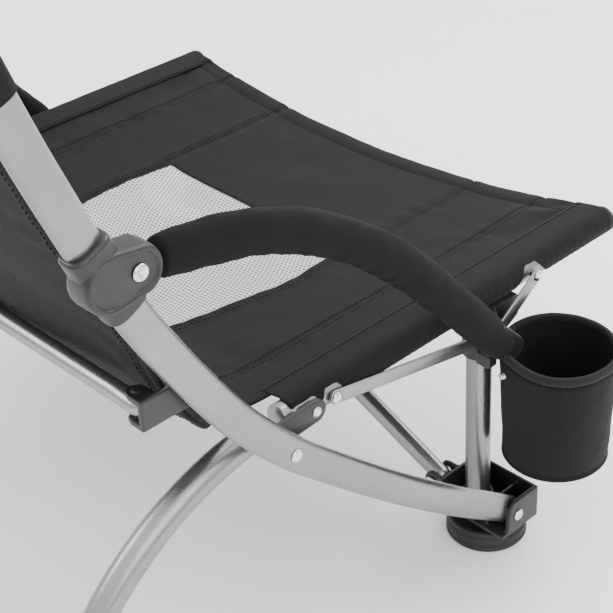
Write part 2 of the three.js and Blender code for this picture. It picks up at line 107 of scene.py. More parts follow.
ARM_TUBE_LOBE = (-388, 463)
CUP_IN = -57
CUP_FWD = 36
CUP_RIM = 208
CUP_BASE = 97
CUP_RIM_RADIUS = 50.5
CUP_BASE_RADIUS = 45.5
CUP_WALL = 2.2
SEAT_PROFILE = [(168, 262.5), (100, 262.5), (0, 262.5), (-100, 262.5), (-200, 262.5), (-238, 264),
                (-262, 268)]
BACK_PROFILE = [(-264, 269), (-292, 282), (-322, 312), (-341, 345), (-362, 400), (-389, 456), (-415, 518),
                (-437, 580), (-504, 778)]
SEAT_HALF = 264
BACK_HALF = 299
SIDES = ((-1, "right"), (1, "left"))


def place(side, inward, fwd, z):
    return Vector((side * (HALF_WIDTH - inward) + CENTRE_X, CENTRE_Y - fwd, z)) * MM


def step01(value, low, high):
    t = min(1.0, max(0.0, (value - low) / (high - low)))
    return t * t * (3 - 2 * t)


def bell(distance, width):
    return math.exp(-(distance / width) ** 2)


def resample(points, count):
    lengths = [0.0]
    for first, second in zip(points, points[1:]):
        lengths.append(lengths[-1] + (second - first).length)
    result, at = [], 0
    for i in range(count):
        target = lengths[-1] * i / (count - 1)
        while at < len(points) - 2 and lengths[at + 1] < target:
            at += 1
        span = max(lengths[at + 1] - lengths[at], 1e-12)
        result.append(points[at].lerp(points[at + 1], (target - lengths[at]) / span))
    return result


def spline(points, count):
    """Centripetal curve through the points, evenly spaced."""
    ends = [points[0] * 2 - points[1], *points, points[-1] * 2 - points[-2]]
    fine = []
    for i in range(len(points) - 1):
        p = ends[i:i + 4]
        t = [0.0]
        for first, second in zip(p, p[1:]):
            t.append(t[-1] + max((second - first).length, 1e-9) ** 0.5)
        for k in range(16):
            x = t[1] + (t[2] - t[1]) * k / 16
            level = list(p)
            for depth in (1, 2):
                level = [
                    level[j] * ((t[j + depth] - x) / (t[j + depth] - t[j]))
                    + level[j + 1] * ((x - t[j]) / (t[j + depth] - t[j]))
                    for j in range(len(level) - 1)
                ]
            share = (x - t[1]) / (t[2] - t[1])
            fine.append(level[0].lerp(level[1], share))
    fine.append(points[-1].copy())
    return resample(fine, count)


# Materials: each is built from procedural nodes.
class Paint:
    """A node material under construction."""

    def __init__(self, name, rough, metallic=0.0, specular=0.5, sheen=0.0, coat=0.0):
        self.material = bpy.data.materials.new(name)
        self.material.use_nodes = True
        self.tree = self.material.node_tree
        self.shader = self.tree.nodes["Principled BSDF"]
        self.shader.inputs["Roughness"].default_value = rough
        self.shader.inputs["Metallic"].default_value = metallic
        self.shader.inputs["Specular IOR Level"].default_value = specular
        self.shader.inputs["Sheen Weight"].default_value = sheen
        self.shader.inputs["Coat Weight"].default_value = coat
        self.where = self.tree.nodes.new("ShaderNodeTexCoord")

    def node(self, kind, inputs=(), **settings):
        made = self.tree.nodes.new(kind)
        for key, value in settings.items():
            setattr(made, key, value)
        for socket, value in dict(inputs).items():
            if isinstance(value, bpy.types.NodeSocket):
                self.tree.links.new(value, made.inputs[socket])
            else:
                made.inputs[socket].default_value = value
        return made

    def math(self, operation, a, b=0.0, c=0.0):
        return self.node("ShaderNodeMath", {0: a, 1: b, 2: c}, operation=operation).outputs[0]

    def noise(self, scale, detail=3.0, stretch=(1, 1, 1)):
        mapped = self.node("ShaderNodeMapping", {"Vector": self.where.outputs["Object"], "Scale": stretch})
        return self.node("ShaderNodeTexNoise", {"Vector": mapped.outputs[0], "Scale": scale,
                                                "Detail": detail}).outputs["Fac"]

    def ramp(self, value, stops):
        ramp = self.node("ShaderNodeValToRGB", {"Fac": value})
        while len(ramp.color_ramp.elements) < len(stops):
            ramp.color_ramp.elements.new(0.5)
        for element, (at, colour) in zip(ramp.color_ramp.elements, stops):
            element.position = at
            element.color = (*colour, 1) if hasattr(colour, "__len__") else (colour, colour, colour, 1)
        return ramp.outputs["Color"]

    def mix(self, share, first, second):
        made = self.tree.nodes.new("ShaderNodeMix")
        made.data_type = "RGBA"
        for socket, value in ((made.inputs[0], share), (made.inputs[6], first), (made.inputs[7], second)):
            if isinstance(value, bpy.types.NodeSocket):
                self.tree.links.new(value, socket)
            else:
                socket.default_value = value
        return made.outputs[2]

    def uv(self, pitch_u, pitch_v):
        parts = self.node("ShaderNodeSeparateXYZ", {0: self.where.outputs["UV"]})
        return (self.math("DIVIDE", parts.outputs[0], pitch_u * MM),
                self.math("DIVIDE", parts.outputs[1], pitch_v * MM))

    def finish(self, colour, height=None, depth=0.1, rough=None, distance=0.0005):
        links = self.tree.links
        links.new(colour, self.shader.inputs["Base Color"])
        if rough is not None:
            links.new(rough, self.shader.inputs["Roughness"])
        if height is not None:
            bump = self.node("ShaderNodeBump", {"Strength": depth, "Distance": distance, "Height": height})
            links.new(bump.outputs[0], self.shader.inputs["Normal"])
        return self.material


def metal(name, low, high, rough_low, rough_high, metallic, grain_depth):
    p = Paint(name, 0.3, metallic)
    broad = p.noise(9, 3)
    grain = p.noise(900, 2)
    scuff = p.noise(60, 6, (1, 1, 3))
    wear = p.ramp(scuff, [(0.0, 0.0), (0.66, 0.0), (0.74, 1.0)])
    colour = p.mix(p.math("MULTIPLY", wear, 0.18), p.ramp(broad, [(0.3, low), (0.7, high)]),
                   (0.34, 0.34, 0.35, 1))
    rough = p.node("ShaderNodeMapRange", {0: p.math("ADD", p.math("MULTIPLY", grain, 0.5),
                                                   p.math("MULTIPLY", scuff, 0.5)),
                                          1: 0.3, 2: 0.7, 3: rough_low, 4: rough_high}).outputs[0]
    return p.finish(colour, grain, grain_depth, rough, 0.0002)


def plastic(name, low, high, rough_low, rough_high, grain_scale, grain_depth, specular=0.5):
    p = Paint(name, 0.5, 0.0, specular)
    cells = p.node("ShaderNodeTexVoronoi", {"Vector": p.where.outputs["Object"],
                                            "Scale": grain_scale}).outputs["Distance"]
    broad = p.noise(35, 4)
    dust = p.ramp(p.noise(140, 5), [(0.0, 0.0), (0.62, 0.0), (0.8, 1.0)])
    colour = p.mix(p.math("MULTIPLY", dust, 0.25), p.ramp(broad, [(0.3, low), (0.7, high)]),
                   (high * 2.2, high * 2.2, high * 2.2, 1))
    rough = p.node("ShaderNodeMapRange", {0: broad, 1: 0.3, 2: 0.7, 3: rough_low,
                                          4: rough_high}).outputs[0]
    return p.finish(colour, cells, grain_depth, rough, 0.0003)


def woven(name, low, high, pitch, depth, sheen=0.2, diagonal=False, rough=0.82):
    p = Paint(name, rough, 0.0, 0.22, sheen)
    p.shader.inputs["Sheen Roughness"].default_value = 0.45
    u, v = p.uv(pitch, pitch)
    if diagonal:
        u, v = p.math("ADD", u, v), p.math("SUBTRACT", u, v)
    warp = p.math("SINE", p.math("MULTIPLY", u, 2 * math.pi))
    weft = p.math("SINE", p.math("MULTIPLY", v, 2 * math.pi))
    weave = p.math("MULTIPLY_ADD", p.math("MULTIPLY", warp, weft), 0.5, 0.5)
    yarn = p.noise(700, 2, (1, 0.25, 1))
    height = p.math("ADD", p.math("MULTIPLY", weave, 0.8), p.math("MULTIPLY", yarn, 0.5))
    broad = p.noise(14, 5)
    # Colour mixes broad random tone with the weave's height, so the weave's low points are darker: painted
    # shade in the weave's hollows
    tone_and_weave_shade = p.math("ADD", p.math("MULTIPLY", broad, 0.55), p.math("MULTIPLY", weave, 0.45))
    colour = p.ramp(tone_and_weave_shade, [(0.25, low), (0.8, high)])
    return p.finish(colour, height, depth, None, 0.0006)


def mesh_cloth(name):
    p = Paint(name, 0.7, 0.0, 0.35, 0.15)
    u, v = p.uv(4.2, 3.6)
    row = p.math("FLOOR", v)
    shift = p.math("MULTIPLY", p.math("MODULO", p.math("ABSOLUTE", row), 2.0), 0.5)
    du = p.math("SUBTRACT", p.math("FRACT", p.math("ADD", u, shift)), 0.5)
    dv = p.math("SUBTRACT", p.math("FRACT", v), 0.5)
    away = p.math("SQRT", p.math("ADD", p.math("MULTIPLY", p.math("MULTIPLY", du, du), 0.8),
                                 p.math("MULTIPLY", dv, dv)))
    solid = p.node("ShaderNodeMapRange", {0: away, 1: 0.2, 2: 0.33, 3: 0.0, 4: 1.0},
                   interpolation_type="SMOOTHSTEP").outputs[0]
    thread = p.noise(600, 3)
    light = p.ramp(p.math("ADD", p.math("MULTIPLY", thread, 0.5), p.math("MULTIPLY", p.noise(18, 4), 0.5)),
                   [(0.3, 0.44), (0.7, 0.62)])
    # The openings between the threads are painted near-black: painted shade seen through the holes, not a
    # colour of the mesh
    colour = p.mix(solid, (0.03, 0.03, 0.031, 1), light)
    height = p.math("ADD", solid, p.math("MULTIPLY", thread, 0.25))
    return p.finish(colour, height, 0.6, None, 0.0008)


SILVER = metal("silver_tube_finish", 0.24, 0.30, 0.24, 0.36, 0.92, 0.05)
STEEL = metal("rivet_steel_finish", 0.70, 0.78, 0.12, 0.24, 1.0, 0.03)
PLASTIC = plastic("moulded_plastic_finish", 0.007, 0.012, 0.36, 0.5, 1500, 0.12)
JOINT_PLASTIC = plastic("joint_plastic_finish", 0.006, 0.010, 0.34, 0.48, 1500, 0.12)
RUBBER = plastic("pad_rubber_finish", 0.010, 0.017, 0.5, 0.66, 1100, 0.2, 0.35)
SLING = woven("sling_fabric_finish", 0.0016, 0.0058, 1.5, 0.6, 0.02)
BACK_FACE = woven("binding_fabric_finish", 0.002, 0.006, 1.2, 0.4, 0.02)
MESH = mesh_cloth("sling_mesh_finish")
CUP = woven("cup_fabric_finish", 0.0014, 0.0085, 2.6, 1.0, 0.02, True)
BINDING = woven("rim_binding_finish", 0.006, 0.016, 1.4, 0.5, 0.04)
KNIT = woven("arm_cover_finish", 0.0012, 0.0034, 1.3, 0.45, 0.01, True, 0.92)
THREAD = woven("thread_finish", 0.0015, 0.004, 0.5, 0.3, 0.0)


# Mesh builders.
def make_piece(name, verts, faces, uvs, material, replaced=(), body=None):
    data = bpy.data.meshes.new(name)
    data.from_pydata(verts, [], faces)
    layer = data.uv_layers.new(name="UVMap")
    for loop, uv in zip(layer.data, uvs):
        loop.uv = uv
    tool = bmesh.new()
    tool.from_mesh(data)
    bmesh.ops.recalc_face_normals(tool, faces=tool.faces)
    tool.to_mesh(data)
    tool.free()
    data.polygons.foreach_set("use_smooth", [True] * len(data.polygons))
    data.materials.append(material)
    made = bpy.data.objects.new(name, data)
    bpy.context.scene.collection.objects.link(made)
    if replaced:
        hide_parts(*replaced)
    if body:
        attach(made, body)
    return made


def spans(points, wrap):
    total = [0.0]
    count = len(points) if wrap else len(points) - 1
    for i in range(count):
        total.append(total[-1] + (points[(i + 1) % len(points)] - points[i]).length)
    return total


def grid_faces(rows, wrap, offset=0, flip=False):
    n, m = len(rows), len(rows[0])
    across = spans(rows[n // 2], wrap)
    along = spans([row[m // 2] for row in rows], False)
    faces, uvs = [], []
    for j in range(n - 1):
        for i in range(m if wrap else m - 1):
            k = (i + 1) % m
            corners = [(j, i, i), (j, k, i + 1), (j + 1, k, i + 1), (j + 1, i, i)]
            if flip:
                corners.reverse()
            faces.append(tuple(offset + r * m + c for r, c, _ in corners))
            uvs += [(across[u], along[r]) for r, _, u in corners]
    return faces, uvs


def ring_piece(name, rows, material, replaced=(), body=None):
    """A closed body of stacked rings, capped at both ends."""
    m = len(rows[0])
    verts = [p for row in rows for p in row]
    faces, uvs = grid_faces(rows, True)
    for start, order in ((0, -1), ((len(rows) - 1) * m, 1)):
        ring = [start + i for i in range(m)][::order]
        centre = sum((verts[i] for i in ring), Vector()) / m
        verts.append(centre)
        hub = len(verts) - 1
        for i in range(m):
            faces.append((hub, ring[i], ring[(i + 1) % m]))
            uvs += [(0, 0), (0.001, 0), (0, 0.001)]
    return make_piece(name, verts, faces, uvs, material, replaced, body)


def cloth_solid(name, rows, thick, material, replaced=(), body=None):
    """A closed sheet of that thickness around a grid of points."""
    n, m = len(rows), len(rows[0])
    top, bottom = [], []
    for j in range(n):
        for i in range(m):
            u = rows[j][min(i + 1, m - 1)] - rows[j][max(i - 1, 0)]
            v = rows[min(j + 1, n - 1)][i] - rows[max(j - 1, 0)][i]
            normal = u.cross(v).normalized() * (thick * MM / 2)
            top.append(rows[j][i] + normal)
            bottom.append(rows[j][i] - normal)
    faces, uvs = grid_faces(rows, False)
    under, under_uvs = grid_faces(rows, False, n * m, True)
    faces += under
    uvs += under_uvs
    rim = [i for i in range(m)] + [j * m + m - 1 for j in range(1, n)]
    rim += [(n - 1) * m + i for i in range(m - 2, -1, -1)] + [j * m for j in range(n - 2, 0, -1)]
    for a, b in zip(rim, rim[1:] + rim[:1]):
        faces.append((b, a, n * m + a, n * m + b))
        uvs += [(0, 0), (0.003, 0), (0.003, 0.001), (0, 0.001)]
    return make_piece(name, top + bottom, faces, uvs, material, replaced, body)


def oval(half_a, half_b, count, power=2.0):
    shape = []
    for i in range(count):
        angle = 2 * math.pi * i / count
        c, s = math.cos(angle), math.sin(angle)
        shape.append((half_a * math.copysign(abs(c) ** (2 / power), c),
                      half_b * math.copysign(abs(s) ** (2 / power), s)))
    return shape


def swept_rows(path, across, section):
    """Rings of section(share, length) along a path; section gives (across, normal) offsets in mm."""
    lengths = spans(path, False)
    rows = []
    for j, point in enumerate(path):
        ahead = (path[min(j + 1, len(path) - 1)] - path[max(j - 1, 0)]).normalized()
        side = (across - ahead * across.dot(ahead)).normalized()
        normal = ahead.cross(side)
        offsets = section(lengths[j] / MM, lengths[-1] / MM)
        rows.append([point + (side * a + normal * b) * MM for a, b in offsets])
    return rows


def stretched(path, before, after):
    """The path with its ends carried on by so many millimetres."""
    first = (path[0] - path[1]).normalized()
    last = (path[-1] - path[-2]).normalized()
    head = [path[0] + first * before * MM] if before else []
    tail = [path[-1] + last * after * MM] if after else []
    return [*head, *path, *tail]


X_AXIS = Vector((1, 0, 0))
Y_AXIS = Vector((0, 1, 0))
Z_AXIS = Vector((0, 0, 1))


def tube(name, path, half_a, half_b, body, replaced, across=X_AXIS, power=2.0, start_eye=0.0,
         end_eye=0.0, press=1.0, sides=40, material=SILVER, edge=1.2):
    """A tube along a path. An eye rounds that end in its own plane and presses the tube flat there."""
    def section(at, total):
        a, b = half_a, half_b
        for eye, away in ((start_eye, at), (end_eye, total - at)):
            if eye:
                flat = step01(away, eye * 1.6, eye * 4.2)
                a = min(a, half_a * (press + (1 - press) * flat))
                b *= 1 + (1 - flat) * (eye / half_b - 1)
                if away < eye:
                    b *= math.sqrt(max(1 - (1 - away / eye) ** 2, 0.0004))
                    a *= 0.82 + 0.18 * step01(away, 0, eye * 0.4)
            elif away < edge:
                share = 1 - away / edge
                a -= edge * (1 - math.sqrt(max(0, 1 - share * share)))
                b -= edge * (1 - math.sqrt(max(0, 1 - share * share)))
        return oval(a, b, sides, power)

    fine = []
    total = spans(path, False)[-1]
    near = [0, 0.15, 0.4, 0.8, 1.4, 2.2, 3.2, 4.5, 6, 8, 10]
    marks = sorted({*(x * MM for x in near if x * MM < total / 3), *(total - x * MM for x in near
                    if x * MM < total / 3), *(total * i / 120 for i in range(1, 120))})
    lengths = spans(path, False)
    at = 0
    for mark in marks:
        while at < len(path) - 2 and lengths[at + 1] < mark:
            at += 1
        fine.append(path[at].lerp(path[at + 1], (mark - lengths[at]) / (lengths[at + 1] - lengths[at])))
    return ring_piece(name, swept_rows(fine, across, section), material, replaced, body)


def lathe(name, profile, base, axis, material, replaced=(), body=None, sides=48):
    """A turned piece: profile points are (radius, height) in mm along axis from base."""
    side = axis.orthogonal().normalized()
    other = axis.cross(side)
    rows = []
    for radius, height in profile:
        rows.append([
            base + (side * math.cos(2 * math.pi * i / sides) * radius
                    + other * math.sin(2 * math.pi * i / sides) * radius
                    + axis * height) * MM for i in range(sides)])
    return ring_piece(name, rows, material, replaced, body)


def rivet(name, side, at, head_in, tail_in, radius, body, replaced, ring=False):
    """A domed rivet through the side plane, its head outward at head_in."""
    outward = X_AXIS * side
    base = place(side, head_in, *at)
    length = tail_in - head_in
    profile = [(0.2, -length), (3.0, -length), (3.0, -0.2), (radius * 0.96, -0.1), (radius, 0.3)]
    for i in range(1, 9):
        angle = math.pi / 2 * i / 8
        profile.append((max(radius * math.cos(angle), 0.2), 0.3 + 2.0 * math.sin(angle)))
    if ring:
        profile = profile[:6] + [(radius * 0.7, 1.9), (radius * 0.5, 1.8), (radius * 0.42, 0.7), (0.2, 0.6)]
    return lathe(name, profile, base, outward, STEEL, replaced, body, 32)


def bar(name, side, start, end, half, in_from, in_to, body, replaced, material=SILVER,
        slot="silver_tube"):
    """A flat bar with round ends between two points of the side plane, its edges broken."""
    heading = math.atan2(end[1] - start[1], end[0] - start[0])
    rows = []
    bevel = min(0.8, (in_to - in_from) * 0.3)
    stations = [(in_from, half - bevel), (in_from + bevel * 0.3, half - bevel * 0.3),
                (in_from + bevel, half), (in_to - bevel, half),
                (in_to - bevel * 0.3, half - bevel * 0.3), (in_to, half - bevel)]
    for inward, radius in stations:
        ring = []
        for centre, first in ((end, heading - math.pi / 2), (start, heading + math.pi / 2)):
            for i in range(17):
                angle = first + math.pi * i / 16
                ring.append(place(side, inward, centre[0] + radius * math.cos(angle),
                                  centre[1] + radius * math.sin(angle)))
        rows.append(ring)
    return ring_piece(name, rows, material, replaced, body)


def refined(node, body, voxel, rounds):
    """A moulded version of a CAD node: the same shape with its edges rounded."""
    made = bpy.data.objects.new(node + "_moulded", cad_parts[node].data.copy())
    bpy.context.scene.collection.objects.link(made)
    made.data.materials.clear()
    made.data.materials.append(PLASTIC)
    remesh = made.modifiers.new("even", "REMESH")
    remesh.mode = "VOXEL"
    remesh.voxel_size = voxel * MM
    remesh.use_smooth_shade = True
    soften = made.modifiers.new("soften", "SMOOTH")
    soften.iterations = rounds
    soften.factor = 0.5
    bpy.context.view_layer.update()
    graph = bpy.context.evaluated_depsgraph_get()
    final = bpy.data.meshes.new_from_object(made.evaluated_get(graph))
    made.modifiers.clear()
    made.data = final
    final.polygons.foreach_set("use_smooth", [True] * len(final.polygons))
    if not final.materials:
        final.materials.append(PLASTIC)
    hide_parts(node)
    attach(made, body)
    return made


# Camera and studio.
camera_data = bpy.data.cameras.new("camera")
camera_data.lens = LENS
camera_data.sensor_width = SENSOR
camera_data.shift_x = SHIFT_X
camera = bpy.data.objects.new("camera", camera_data)
turn = Matrix((VIEW_RIGHT, VIEW_UP, VIEW_BACK)).transposed().to_4x4()
camera.matrix_world = Matrix.Translation(VIEW_FROM) @ turn
bpy.context.scene.collection.objects.link(camera)
bpy.context.scene.camera = camera

world = bpy.data.worlds.new("studio")
world.use_nodes = True
sky = world.node_tree
sky_where = sky.nodes.new("ShaderNodeTexCoord")
sky_height = sky.nodes.new("ShaderNodeSeparateXYZ")
sky_range = sky.nodes.new("ShaderNodeMapRange")
for socket, value in ((1, -0.05), (2, 0.75), (3, 0.9), (4, 2.3)):
    sky_range.inputs[socket].default_value = value
sky.links.new(sky_where.outputs["Generated"], sky_height.inputs[0])
sky.links.new(sky_height.outputs["Z"], sky_range.inputs[0])
sky.links.new(sky_range.outputs[0], sky.nodes["Background"].inputs["Strength"])
sky.nodes["Background"].inputs["Color"].default_value = (1, 1, 1, 1)
bpy.context.scene.world = world


def soft_light(name, at, towards, size, power):
    data = bpy.data.lights.new(name, "AREA")
    data.size = size
    data.energy = power
    lamp = bpy.data.objects.new(name, data)
    lamp.location = at
    lamp.rotation_euler = (Vector(towards) - Vector(at)).to_track_quat("-Z", "Y").to_euler()
    bpy.context.scene.collection.objects.link(lamp)


soft_light("key", (-0.5, -1.9, 2.3), (0, 0, 0.25), 1.4, 60)
soft_light("fill", (-2.3, 0.7, 1.5), (0, 0, 0.25), 1.6, 22)
soft_light("rim", (1.9, 1.5, 1.9), (0, 0, 0.3), 1.2, 26)

FLOOR_HALF = 4.0
floor_paint = Paint("floor_finish", 0.7)
floor_finish = floor_paint.finish(floor_paint.ramp(floor_paint.noise(3, 2), [(0.3, 0.93), (0.7, 0.95)]),
                                  floor_paint.noise(300, 2), 0.02)
floor_data = bpy.data.meshes.new("floor")
floor_data.from_pydata([(-FLOOR_HALF, -FLOOR_HALF, 0), (FLOOR_HALF, -FLOOR_HALF, 0),
                        (FLOOR_HALF, FLOOR_HALF, 0), (-FLOOR_HALF, FLOOR_HALF, 0)], [], [(0, 1, 2, 3)])
floor_data.materials.append(floor_finish)
floor = bpy.data.objects.new("floor", floor_data)
bpy.context.scene.collection.objects.link(floor)

# Every CAD node gets a procedural finish: silver for the arm tubes, moulded plastic for the rest.
for node_name, cad_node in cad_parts.items():
    finish = SILVER if node_name.endswith("arm_tube") else PLASTIC
    for material_slot in cad_node.material_slots:
        material_slot.material = finish


# Frame.
def leg_route():
    start, end = (math.radians(x) for x in LEG_ANGLES)
    points = []
    for i in range(13):
        angle = start + (end - start) * i / 12
        points.append((SCISSOR[0] - LEG_BEND * (math.sin(angle) - math.sin(start)),
                       SCISSOR[1] - LEG_BEND * (math.cos(start) - math.cos(angle))))
    drop = points[-1][1] - LEG_FOOT_TOP
    points.append((points[-1][0] - drop / math.tan(end), LEG_FOOT_TOP))
    return points


def side_path(side, inward, route, count=110):
    return spline([place(side, inward, *point) for point in route], count)


def build_frame(side, label):
    def name(piece):
        return f"{label}_{piece}"

    body = name("side")
    outward = X_AXIS * side

    # Foot: rubber pad with a raised lip, moulded bracket, pin.
    pad_base = place(side, PAD_IN, PAD_FWD, 0)
    pad_profile = [(0.2, 0), (33, 0), (35.5, 0.5), (36.8, 2.2), (36.8, 4.6), (36.0, 5.2), (36.0, 6.4),
                   (36.6, 7.0), (36.2, 12.6), (35.4, 13.4), (34.6, 14.0), (35.2, 15.0), (35.0, 18.2),
                   (34.2, 19.6), (32.6, 20.0), (29.6, 19.8), (28.8, 18.9), (27.6, 18.4), (0.2, 18.4)]
    lathe(name("foot_pad_fine"), pad_profile, pad_base, Z_AXIS, RUBBER,
          [name("foot_pad")], name("pad"), 72)
    refined(name("foot_bracket"), body, 0.8, 5)
    rivet(name("foot_pin_fine"), side, FOOT_PIN, -46.2, -20, PIN_HEAD_RADIUS, body, [name("foot_pin")])
    for rib in range(4):
        at = -8 + rib * 9.5
        bar(name(f"bracket_rib_{rib}"), side, (at, 26), (at, 50), 1.1, -42.2, -40.2, body, (),
            PLASTIC, "moulded_plastic")

    # Post, knuckle and flat bars.
    post = [place(side, 0, 0, POST_BASE + 0.3), place(side, 0, 0, POST_TOP - 0.3)]
    tube(name("front_post_fine"), resample(post, 60), TUBE_RADIUS, TUBE_RADIUS, body,
         [name("front_post")])
    refined(name("post_knuckle"), body, 0.8, 5)
    bar(name("rear_bar_fine"), side, REAR_RIVET, KNUCKLE, BAR_HALF, *REAR_BAR_IN, body,
        [name("rear_bar")])
    bar(name("front_bar_fine"), side, KNUCKLE, FRONT_RIVET, BAR_HALF, *FRONT_BAR_IN, body,
        [name("front_bar")])
    rivet(name("rear_bar_rivet_fine"), side, REAR_RIVET, -15.1, SHANK_END, BAR_RIVET_RADIUS, body,
          [name("rear_bar_rivet")])
    rivet(name("front_bar_rivet_fine"), side, FRONT_RIVET, -18.1, SHANK_END, BAR_RIVET_RADIUS, body,
          [name("front_bar_rivet")])
    rivet(name("knuckle_rivet_fine"), side, KNUCKLE, -18.1, -11.7, BAR_RIVET_RADIUS, body,
          [name("knuckle_rivet")])

    # Seat tube, its cap and the hinge plate.
    seat = [place(side, 0, SEAT_FRONT - 4, SEAT_HEIGHT), place(side, 0, SEAT_TUBE_END, SEAT_HEIGHT)]
    tube(name("seat_tube_fine"), resample(seat, 60), TUBE_RADIUS, TUBE_RADIUS, body,
         [name("seat_tube")])
    cap = place(side, 0, SEAT_FRONT - 4, SEAT_HEIGHT)
    lathe(name("front_cap_fine"), [(0.2, 0), (12, 0), (12, 2.2), (11.4, 3.2), (10, 3.9), (0.2, 4)], cap,
          -Y_AXIS, PLASTIC, [name("front_cap")], body)
    bar(name("hinge_plate_fine"), side, PLATE_RIVET, SCISSOR, PLATE_HALF, *PLATE_IN, body,
        [name("hinge_plate")], PLASTIC, "moulded_plastic")
    rivet(name("plate_rivet_fine"), side, PLATE_RIVET, -16.5, SHANK_END, 4.6, body, ())
    lathe(name("scissor_spacer"), [(3, -10), (8, -10), (8, 0), (3, 0)], place(side, -26.4, *SCISSOR),
          outward, PLASTIC, (), body)

    # Back tube, flattened oval, pressed flat at the foot.
    back = stretched(side_path(side, BACK_TUBE_IN, BACK_ROUTE, 160), 12.6, 0)
    tube(name("back_tube_fine"), back, BACK_HALF_THICK, BACK_HALF_WIDE, body, [name("back_tube")],
         power=2.15, start_eye=13, press=0.9, sides=48)
    top = (back[-1] - back[-2]).normalized()
    cap_path = [back[-1] + top * 0.2 * MM, back[-1] + top * 6 * MM]
    tube(name("top_cap_fine"), resample(cap_path, 24), BACK_HALF_THICK + 0.3, BACK_HALF_WIDE + 0.3, body,
         [name("top_cap")], power=2.5, sides=48, material=PLASTIC, edge=2.6)
    rivet(name("scissor_rivet_fine"), side, SCISSOR, -41.7, SHANK_END, 5.4, body, [name("scissor_rivet")])

    # Rear leg and its foot.
    leg = stretched(side_path(side, 0, leg_route(), 120), 11.6, 0)
    tube(name("rear_leg_fine"), leg, LEG_RADIUS, LEG_RADIUS, name("leg"), [name("rear_leg")],
         start_eye=12, press=0.94, sides=44)
    foot_fwd = leg_route()[-1][0] - 2
    foot_profile = [(0.2, 0), (16, 0), (17.6, 1.2), (17.9, 3.5), (17.2, 9), (16.8, 9.6), (16.8, 10.6),
                    (17.0, 11.2), (16.4, 14.8), (15.4, 16), (0.2, 16)]
    lathe(name("rear_foot_fine"), foot_profile, place(side, 0, foot_fwd, 0), Z_AXIS, RUBBER,
          [name("rear_foot")], name("leg"))

    build_arm(side, label)
    refined(name("arm_socket"), body, 0.9, 8)

    # Front brace half and rear spreader half.
    brace_fwd = BRACE_OFFSET * side
    brace = [place(side, BRACE_IN, brace_fwd, BRACE_Z),
             place(side, HALF_WIDTH, brace_fwd, BRACE_Z + BRACE_RISE)]
    tube(name("front_brace_fine"), resample(stretched(brace, 8, 8), 70), BRACE_RADIUS, BRACE_RADIUS,
         name("brace"), [name("front_brace")], across=Y_AXIS, start_eye=8.6, end_eye=8.6, press=0.96)
    pin_profile = [(0.2, -27), (3.0, -27), (3.0, 0), (4.8, 0.1), (5, 0.5), (4.4, 1.5), (3.0, 2.0),
                   (2.4, 1.9), (2.0, 0.6), (0.2, 0.5)]
    pin_base = place(side, BRACE_IN, brace_fwd - BRACE_RADIUS - 5.3, BRACE_Z)
    lathe(name("brace_pin_fine"), pin_profile, pin_base, Y_AXIS, STEEL,
          [name("brace_pin")], body, 32)
    spreader_z = SPREADER_Z - side * SPREADER_OFFSET
    spreader = [place(side, SPREADER_IN, SPREADER_FWD, spreader_z),
                place(side, HALF_WIDTH, SPREADER_FWD, spreader_z)]
    tube(name("spreader_fine"), resample(stretched(spreader, 7.5, 7.5), 70), SPREADER_RADIUS,
         SPREADER_RADIUS, name("spreader_half"), [name("spreader")], across=Z_AXIS, start_eye=8,
         end_eye=8, press=0.96)
    refined(name("spreader_lug"), body, 0.8, 4)


JOINT_STATIONS = ((-24, -4.0), (-24.5, -1.6), (-26, -0.4), (-28.5, 0), (-43, 0), (-45.2, -0.5),
                  (-46.6, -1.7), (-47, -3.0), (-46.7, -4.2), (-45.9, -4.8), (-45.4, -5.2), (-45.2, -6.4),
                  (-45.5, -10.0))


def joint_ring(side, inward, inset, count=72):
    """Outline of the arm joint: two round lobes with a slight waist."""
    small, large = 18.5 + inset, 21.5 + inset
    span = ARM_PIVOT[0] - ARM_TUBE_LOBE[0]
    lean = math.asin((large - small) / span)
    ring = []
    for i in range(count):
        angle = -math.pi / 2 + lean + (math.pi - 2 * lean) * i / (count / 2 - 1)
        if i < count // 2:
            centre, radius = ARM_PIVOT, small
        else:
            share = (i - count // 2) / (count / 2 - 1)
            angle = math.pi / 2 - lean + (math.pi + 2 * lean) * share
            centre, radius = ARM_TUBE_LOBE, large
        waist = 1.1 * bell(abs(math.cos(angle)), 0.24)
        ring.append(place(side, inward, centre[0] + (radius - waist) * math.cos(angle),
                          centre[1] + (radius - waist) * math.sin(angle)))
    return ring


